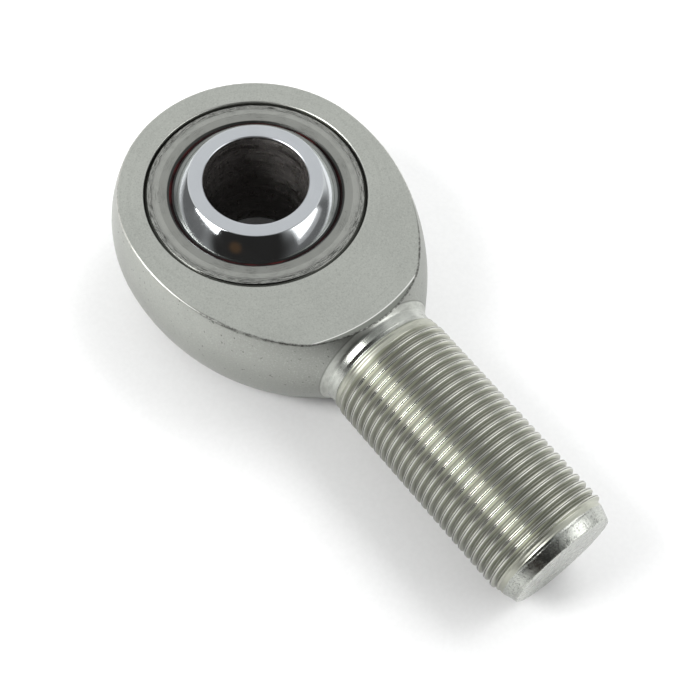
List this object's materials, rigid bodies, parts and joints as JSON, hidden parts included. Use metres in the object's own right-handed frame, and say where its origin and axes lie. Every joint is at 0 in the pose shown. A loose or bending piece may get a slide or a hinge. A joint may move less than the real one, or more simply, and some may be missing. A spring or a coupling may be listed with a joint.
{
  "type": "rod end bearing",
  "caption": "Spherical rod end: a polished ball with a through bore turns in a lined steel race held in a round, flat-sided head on a threaded male shank.",
  "frame": {"origin": "the centre of the ball, where the bore's axis meets the shank's axis", "axes": "+Z along the ball's bore, +X along the shank towards its threaded end, +Y across the head"},
  "size_m": [0.1481, 0.0714, 0.035],
  "materials": {
    "plated_steel": "satin zinc-plated alloy steel, grey with a faint green cast, shinier on the turned neck and rolled thread",
    "race_steel": "turned steel ring with fine concentric tool marks",
    "liner_fabric": "dark maroon woven low-friction liner, matt",
    "polished_steel": "hard chromed and mirror polished, with ground flat faces and a plain bore"
  },
  "bodies": {
    "rod": {"rod_body": "plated_steel", "race": "race_steel", "liner": "liner_fabric"},
    "ball": {"ball": "polished_steel"}
  },
  "joints": [
    {"name": "ball_tilt", "type": "hinge", "parent": "rod", "child": "ball", "pos_m": [0, 0, 0], "axis": [1, 0, 0], "range_deg": [-15, 15]}
  ]
}
